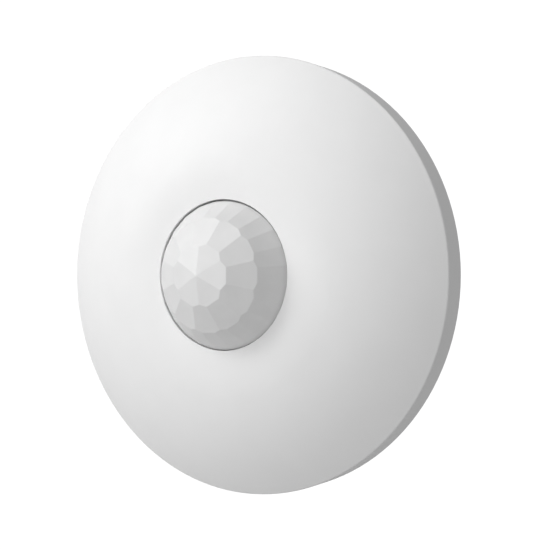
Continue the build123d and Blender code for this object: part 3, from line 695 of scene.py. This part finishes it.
def bus_to_radio():
    """Six lanes from the processor down the left of the sensor to the radio module."""
    routes = []
    for lane in range(6):
        leg_x = -2.8 + 0.8 * lane
        turn_z = 7.4 - 0.5 * lane
        run_x = -10.6 + 0.55 * lane
        pad_z = -24.5 + 1.6 * lane
        routes.append([(leg_x, 10.7), (leg_x, turn_z), (run_x, turn_z), (run_x, pad_z), (-7.2, pad_z)])
    return routes


def bus_to_settings():
    """Three lanes from the processor's top, round the cell on the right, to the setting switches."""
    routes = []
    for lane in range(3):
        leg_x = 0.4 + 0.8 * lane
        low_z = 21.9 - 0.6 * lane
        run_x = 14.7 - 0.6 * lane
        high_z = 32.4 - 0.6 * lane
        far_x = 29.4 + 0.6 * lane
        pad_z = 14.3 - 2.3 * lane
        routes.append([(leg_x, 20.2), (leg_x, low_z), (run_x, low_z), (run_x, high_z)])
        routes[-1] += [(far_x, high_z), (far_x, pad_z), (31.2, pad_z)]
    return routes


def bus_to_tampers():
    """Three lanes from the resistors, round the cell on the left, to the switches there."""
    routes = []
    for lane in range(3):
        row_z = 19.5 - 2.2 * lane
        run_x = -13.7 - 0.55 * lane
        high_z = 31.2 + 0.6 * lane
        far_x = -30.4 + 0.6 * lane
        pad_z = (10.2, 5.8, -6.0)[lane]
        routes.append([(-13.1, row_z), (run_x, row_z), (run_x, high_z), (far_x, high_z)])
        routes[-1] += [(far_x, pad_z), (-30.9, pad_z)]
    return routes


def short_traces():
    """Links between the processor and the parts beside it."""
    routes = []
    for row in range(6):
        leg_z, row_z = 13.5 + 0.8 * row, 8.5 + 2.2 * row
        routes.append([(-4.4, leg_z), (-5.6 - 0.1 * row, leg_z), (-7.0, row_z), (-8.0, row_z)])
    for row in range(2):
        routes.append([(4.4, 13.9 + 1.6 * row), (6.4, 13.9 + 1.6 * row), (8.2, 9.8 + 4.8 * row)])
    for row in range(4):
        pad_z = -18.5 + 3.0 * row
        routes.append([(7.2, pad_z), (8.1, pad_z)])
        routes.append([(10.2, pad_z), (11.4, pad_z)])
    for side in (-1, 1):
        routes.append([(1.2 * side, -11.0), (1.2 * side, -13.0)])
        routes.append([(30.9 * side, 22.6), (29.6 * side, 24.5), (29.6 * side, 28.6)])
    return routes


def power_traces():
    """Wide copper from the cells' contacts to the middle of the board."""
    routes = []
    for side in (-1, 1):
        routes.append([(side * 18.4, -29.2), (side * 14.2, -33.4), (side * 2.0, -33.4)])
        routes.append([(side * 22.0, 29.8), (side * 18.0, 35.6), (side * 11.5, 35.6)])
        routes.append([(side * 5.4, -28.4), (side * 5.4, -30.9), (side * 2.0, -33.4)])
    return routes


def add_ring_traces(mesh, radius, width):
    """Adds the guard ring round the board's edge, in arcs with gaps between them."""
    for start in range(0, 360, 60):
        angles = [math.radians(start + step) for step in range(0, 55, 3)]
        arc = [(radius * math.cos(angle), radius * math.sin(angle)) for angle in angles]
        add_strip(mesh, arc, width, trace_height)


def make_traces():
    """The copper traces, which stand out as ridges under the green solder mask."""
    mesh = bmesh.new()
    for route in bus_to_radio() + bus_to_settings() + bus_to_tampers():
        add_strip(mesh, cut_corners(route, 0.4), 0.25, trace_height)
    for route in short_traces():
        add_strip(mesh, route, 0.25, trace_height)
    for route in power_traces():
        add_strip(mesh, route, 1.1, trace_height)
    add_ring_traces(mesh, screw_circle, 1.2)
    make_piece("board_traces", mesh, "housing", "board_laminate")


def add_via(mesh, x, z, radius=0.42):
    """Adds a plated hole's raised rim."""
    rim = [(radius, 0), (radius, 0.05), (radius * 0.9, 0.07), (radius * 0.55, 0.07), (radius * 0.5, 0)]
    add_lathe(mesh, [(r * mm, h * mm) for r, h in rim], on_board(x, z), (0, -1, 0), 16, closed=True)


def make_vias():
    """Plated holes along the guard ring, among the traces, and in short rows near the edge."""
    mesh = bmesh.new()
    for number in range(0, 360, 15):
        if number % 60 < 55:
            angle = math.radians(number + 4)
            add_via(mesh, screw_circle * math.cos(angle), screw_circle * math.sin(angle))
    for x, z in ((-13.6, -16), (-13.6, -19), (-13.6, -22), (13.6, -22.5), (13.6, -25), (0, 34.5)):
        add_via(mesh, x, z)
    for side in (-1, 1):
        for row in range(3):
            add_via(mesh, side * (4.5 + 2.5 * row), -36.5)
            add_via(mesh, side * 36, -18 - 3 * row, radius=0.6)
    for row in range(5):
        add_via(mesh, -2.6 + 1.3 * row, -39.5, radius=0.7)
    make_piece("plated_holes", mesh, "housing", "tinned_metal")


def add_mound(mesh, centre, radius, height):
    """Adds a solder joint on the board: a low cone with hollow sides."""
    profile = [(0, 0), (1, 0), (0.96, 0.12), (0.72, 0.34)]
    profile += [(0.5, 0.66), (0.34, 0.92), (0.18, 1), (0, 1.02)]
    add_lathe(mesh, [(r * radius, h * height) for r, h in profile], centre, (0, -1, 0), 20)


radio_pads = 8  # on each side
radio_pad_pitch = 1.6 * mm
leg_rows = {"cover_tamper_switch": 2, "rear_tamper_switch": 2, "enrol_switch": 2, "dip_switch_body": 3}
leg_half_width = 0.35 * mm
leg_thickness = 0.2 * mm
leg_reach = 0.55 * mm
leg_top = 1.1 * mm


def switch_leg_places(node, rows):
    """(side, x of that side, z) for each leg of a switch with this many legs on each of two sides."""
    low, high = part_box(node)
    pitch = (high.z - low.z) / rows
    places = []
    for side, edge in ((-1, low.x), (1, high.x)):
        for row in range(rows):
            places.append((side, edge, low.z + pitch * (row + 0.5)))
    return places


def make_switch_legs():
    """Bent flat legs of the switches, each out of the body's side and down to its solder pad."""
    mesh = bmesh.new()
    for node, rows in leg_rows.items():
        for side, edge, z in switch_leg_places(node, rows):
            tip = edge + side * leg_reach
            shoulder_bottom = board_face - leg_top + leg_thickness
            foot_bottom = board_face - 0.02 * mm
            for start, bottom in (
                (edge - side * 0.1 * mm, shoulder_bottom),
                (tip - side * leg_thickness, foot_bottom),
            ):
                low = Vector((min(start, tip), board_face - leg_top, z - leg_half_width))
                high = Vector((max(start, tip), bottom, z + leg_half_width))
                add_block(mesh, low, high, 0.05 * mm)
    make_piece("switch_legs", mesh, "housing", "tinned_metal")


def make_solder():
    """Solder joints at the switches, the radio module, the cells' contacts and the wire ends."""
    mesh = bmesh.new()
    for node, rows in leg_rows.items():
        for side, edge, z in switch_leg_places(node, rows):
            spot = Vector((edge + side * 0.45 * mm, board_face, z))
            add_mound(mesh, spot, 0.6 * mm, 0.5 * mm)
    radio_low, radio_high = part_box("radio_board")
    first_pad_z = (radio_low.z + radio_high.z - (radio_pads - 1) * radio_pad_pitch) / 2
    for pad in range(radio_pads):
        for edge in (radio_low.x, radio_high.x):
            spot = Vector((edge, board_face, first_pad_z + pad * radio_pad_pitch))
            add_mound(mesh, spot, 0.5 * mm, 0.75 * mm)
    for low, high in solid_boxes("battery_contacts"):
        foot_z = high.z - 1.0 * mm if high.z > 0 else low.z + 1.0 * mm
        for x in (low.x + 1.2 * mm, high.x - 1.2 * mm):
            add_mound(mesh, Vector((x, board_face - 0.35 * mm, foot_z)), 0.9 * mm, 0.45 * mm)
    coil_low, coil_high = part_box("antenna_coil")
    for x in (coil_low.x, coil_high.x):
        add_mound(mesh, Vector((x, board_face, antenna_foot_z)), 0.8 * mm, 0.7 * mm)
    for z in capacitor_lead_z:
        add_mound(mesh, Vector((capacitor_foot_x, board_face, z)), 0.75 * mm, 0.8 * mm)
    make_piece("solder_joints", mesh, "housing", "tinned_metal")


def outline(low, high, margin):
    """The corners of a rectangle round a node's box on the board, in millimetres."""
    left, right = low.x / mm - margin, high.x / mm + margin
    bottom, top = low.z / mm - margin, high.z / mm + margin
    return [(left, bottom), (right, bottom), (right, top), (left, top), (left, bottom)]


def make_board_print():
    """White ink on the board: outlines round the larger parts, and the cells' plus and minus signs."""
    mesh = bmesh.new()
    ink = 0.03
    for node in ("radio_board", "microcontroller_legs", "crystal_can", *leg_rows):
        corners = outline(*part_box(node), 0.9)
        for start, end in zip(corners, corners[1:]):
            add_strip(mesh, [start, end], 0.18, ink, base=trace_height)
    for side, plus_z in ((-1, 1), (1, -1)):
        for sign in (-1, 1):
            x, z = side * 28.6, sign * plus_z * 29.0
            add_strip(mesh, [(x - 0.9, z), (x + 0.9, z)], 0.35, ink, base=trace_height)
            if sign == 1:
                add_strip(mesh, [(x, z - 0.9), (x, z + 0.9)], 0.35, ink, base=trace_height)
    make_piece("board_print", mesh, "housing", "plunger_white")


# ---------------------------------------------------------------- small parts on the board
def make_gull_legs():
    """The processor's legs, each bent out of the body, down, and flat along the board."""
    body_low, body_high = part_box("microcontroller")
    middle = (body_low + body_high) / 2
    profile = [(0, 0.46), (0.3, 0.46), (0.5, 0.14), (0.55, 0.13), (1.0, 0.13)]
    profile += [(1.0, 0.01), (0.48, 0.01), (0.4, 0.05), (0.22, 0.34), (0, 0.34)]
    mesh = bmesh.new()
    for low, high in solid_boxes("microcontroller_legs"):
        centre = (low + high) / 2
        lengthwise = Vector((1, 0, 0)) if high.x - low.x > high.z - low.z else Vector((0, 0, 1))
        outward = lengthwise * (1 if (centre - middle).dot(lengthwise) > 0 else -1)
        sideways = Vector((outward.z, 0, -outward.x))
        start = Vector((centre.x, board_face, centre.z)) - outward * 0.5 * mm
        faces = []
        for side in (-0.17 * mm, 0.17 * mm):
            face = []
            for reach, height in profile:
                spot = start + outward * reach * mm + sideways * side
                face.append(mesh.verts.new(spot + Vector((0, -height * mm, 0))))
            faces.append(face)
            mesh.faces.new(face)
        for number in range(len(profile)):
            following = (number + 1) % len(profile)
            near, far = faces
            mesh.faces.new((near[number], near[following], far[following], far[number]))
    legs = make_piece("gull_wing_legs", mesh, "housing", "tinned_metal")
    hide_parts("microcontroller_legs")


def make_chip_ends():
    """Tinned caps on both ends of every chip resistor and capacitor, with solder up to them."""
    mesh = bmesh.new()
    proud = 0.03 * mm
    for node, length in (("chip_resistors", 0.32 * mm), ("chip_capacitors", 0.45 * mm)):
        for low, high in solid_boxes(node):
            for start, end in ((low.x - proud, low.x + length), (high.x - length, high.x + proud)):
                corner = Vector((start, low.y - proud, low.z - proud))
                opposite = Vector((end, board_face - 0.01 * mm, high.z + proud))
                add_block(mesh, corner, opposite, 0.06 * mm)
            for edge, side in ((low.x, -1), (high.x, 1)):
                spot = Vector((edge + side * 0.15 * mm, board_face, (low.z + high.z) / 2))
                add_mound(mesh, spot, 0.42 * mm, (board_face - low.y) * 0.7)
    make_piece("chip_end_caps", mesh, "housing", "tinned_metal")


def make_leads():
    """The capacitor's two leads and the antenna's two ends, bent down to the board."""
    routes = []
    for z in capacitor_lead_z:
        start = Vector((capacitor_high.x - 0.3 * mm, capacitor_middle.y, z))
        corner = Vector((capacitor_foot_x, capacitor_middle.y, z))
        foot = Vector((capacitor_foot_x, board_face - 0.05 * mm, z))
        routes.append((start, start.lerp(corner, 0.7), corner, corner.lerp(foot, 0.3), foot))
    make_wires("capacitor_leads", routes, 0.25 * mm, "housing", "tinned_metal")
    coil_low, coil_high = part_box("antenna_coil")
    routes = []
    for x in (coil_low.x + 0.3 * mm, coil_high.x - 0.3 * mm):
        start = Vector((x, (coil_low.y + coil_high.y) / 2, coil_low.z + 0.35 * mm))
        foot = Vector((x, board_face - 0.05 * mm, antenna_foot_z))
        routes.append((start, start.lerp(foot, 0.5) + Vector((0, 0, -0.3 * mm)), foot))
    make_wires("antenna_ends", routes, 0.28 * mm, "housing", "antenna_copper")


def make_capacitor_ends():
    """The bare aluminium top with its pressed cross, and the rubber bung at the leads' end."""
    mesh = bmesh.new()
    top = Vector((capacitor_low.x, capacitor_middle.y, capacitor_middle.z))
    rim = capacitor_radius * 0.8
    dish = [(0, 0.02), (0.9, 0.02), (0.93, 0.1), (1.0, 0.1), (1.0, -0.1), (0, -0.1)]
    add_lathe(mesh, [(r * rim, h * mm) for r, h in dish], top, (-1, 0, 0), 40)
    for half_y, half_z in ((rim * 0.8, 0.09 * mm), (0.09 * mm, rim * 0.8)):
        low = top + Vector((-0.09 * mm, -half_y, -half_z))
        add_block(mesh, low, top + Vector((0, half_y, half_z)), 0.03 * mm)
    make_piece("capacitor_top", mesh, "housing", "cell_steel")
    mesh = bmesh.new()
    end = Vector((capacitor_high.x, capacitor_middle.y, capacitor_middle.z))
    bung = [(0, 0.12), (0.62, 0.12), (0.74, 0.04), (0.78, -0.1), (0, -0.1)]
    add_lathe(mesh, [(r * capacitor_radius, h * mm) for r, h in bung], end, (1, 0, 0), 40)
    make_piece("capacitor_bung", mesh, "housing", "soft_rubber")


def make_cell_ends():
    """The grey washer and the rolled crimp round each cell's plus end, and a ring at its minus end."""
    washers = bmesh.new()
    crimps = bmesh.new()
    for node, way in cell_nodes.items():
        low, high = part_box(node)
        middle = (low + high) / 2
        radius = (high.x - low.x) / 2
        sleeve_low, sleeve_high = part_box(node.replace("battery", "battery_sleeve"))
        plus_foot = (sleeve_high.z + 0.3 * mm) if way > 0 else (sleeve_low.z - 0.3 * mm)
        minus_end = low.z if way > 0 else high.z
        washer = [(0.43, 0), (0.43, 0.12), (0.8, 0.12), (0.82, 0)]
        place = Vector((middle.x, middle.y, plus_foot))
        points = [(r * radius, h * mm) for r, h in washer]
        add_lathe(washers, points, place, (0, 0, way), 40, closed=True)
        crimp = [(0.84, 0), (0.86, 0.18), (0.92, 0.26), (0.98, 0.18), (0.995, 0)]
        points = [(r * radius, h * mm) for r, h in crimp]
        add_lathe(crimps, points, place, (0, 0, way), 40, closed=True)
        place = Vector((middle.x, middle.y, minus_end))
        ring = [(0.72, 0.02), (0.76, 0.06), (0.88, 0.06), (0.92, 0.02), (0.92, -0.1), (0.72, -0.1)]
        points = [(r * radius, h * 0.3 * mm) for r, h in ring]
        add_lathe(crimps, points, place, (0, 0, -way), 40, closed=True)
    make_piece("cell_washers", washers, "housing", "button_grey")
    make_piece("cell_crimps", crimps, "housing", "cell_steel")


# ---------------------------------------------------------------- the scene
add_camera()
paint_nodes()
make_lens()
make_traces()
make_vias()
make_switch_legs()
make_solder()
make_board_print()
make_gull_legs()
make_chip_ends()
make_leads()
make_capacitor_ends()
make_cell_ends()

add_area_light("side_light", (-0.85, 0.5, 0.1), 9.3)
add_area_light("top_light", (-0.5, 0.8, 0.3), 3.5)
add_area_light("front_light", (-0.6, 0.05, 0.8), 5.7)
add_world(0.375)
add_stage()
bpy.context.scene.view_settings.view_transform = "Standard"

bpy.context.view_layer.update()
